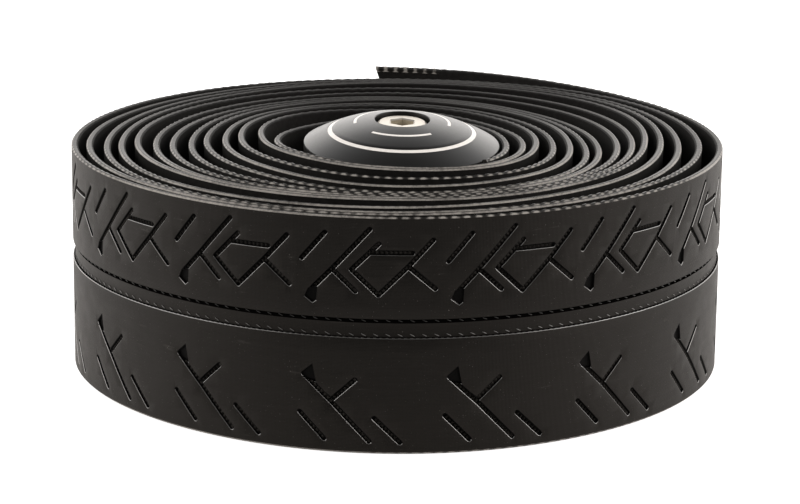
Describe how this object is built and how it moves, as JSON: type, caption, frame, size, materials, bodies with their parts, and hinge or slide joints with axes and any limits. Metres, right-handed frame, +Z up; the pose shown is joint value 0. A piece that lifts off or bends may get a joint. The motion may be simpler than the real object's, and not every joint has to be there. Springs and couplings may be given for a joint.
{
  "type": "handlebar tape roll",
  "caption": "Rolled handlebar tape with a tread-patterned face, standing on its end, with an expanding bar-end plug in its core.",
  "frame": {"origin": "on the table, under the middle of the whole object's box", "axes": "+Z up along the roll's axis, -Y towards the wall that shows whole figures of the tread; the tape's loose outer end is at +Y"},
  "size_m": [0.087, 0.0948, 0.0334],
  "materials": {
    "tape": "satin black, cut edges paler",
    "cap": "satin black anodised",
    "screw": "bright plated",
    "sleeve": "matte black nylon",
    "nut": "plain turned"
  },
  "bodies": {
    "root": {"tape_roll": "tape", "plug_cap": "cap", "plug_screw": "screw", "plug_sleeve": "sleeve", "plug_cone_nut": "nut"}
  },
  "joints": []
}
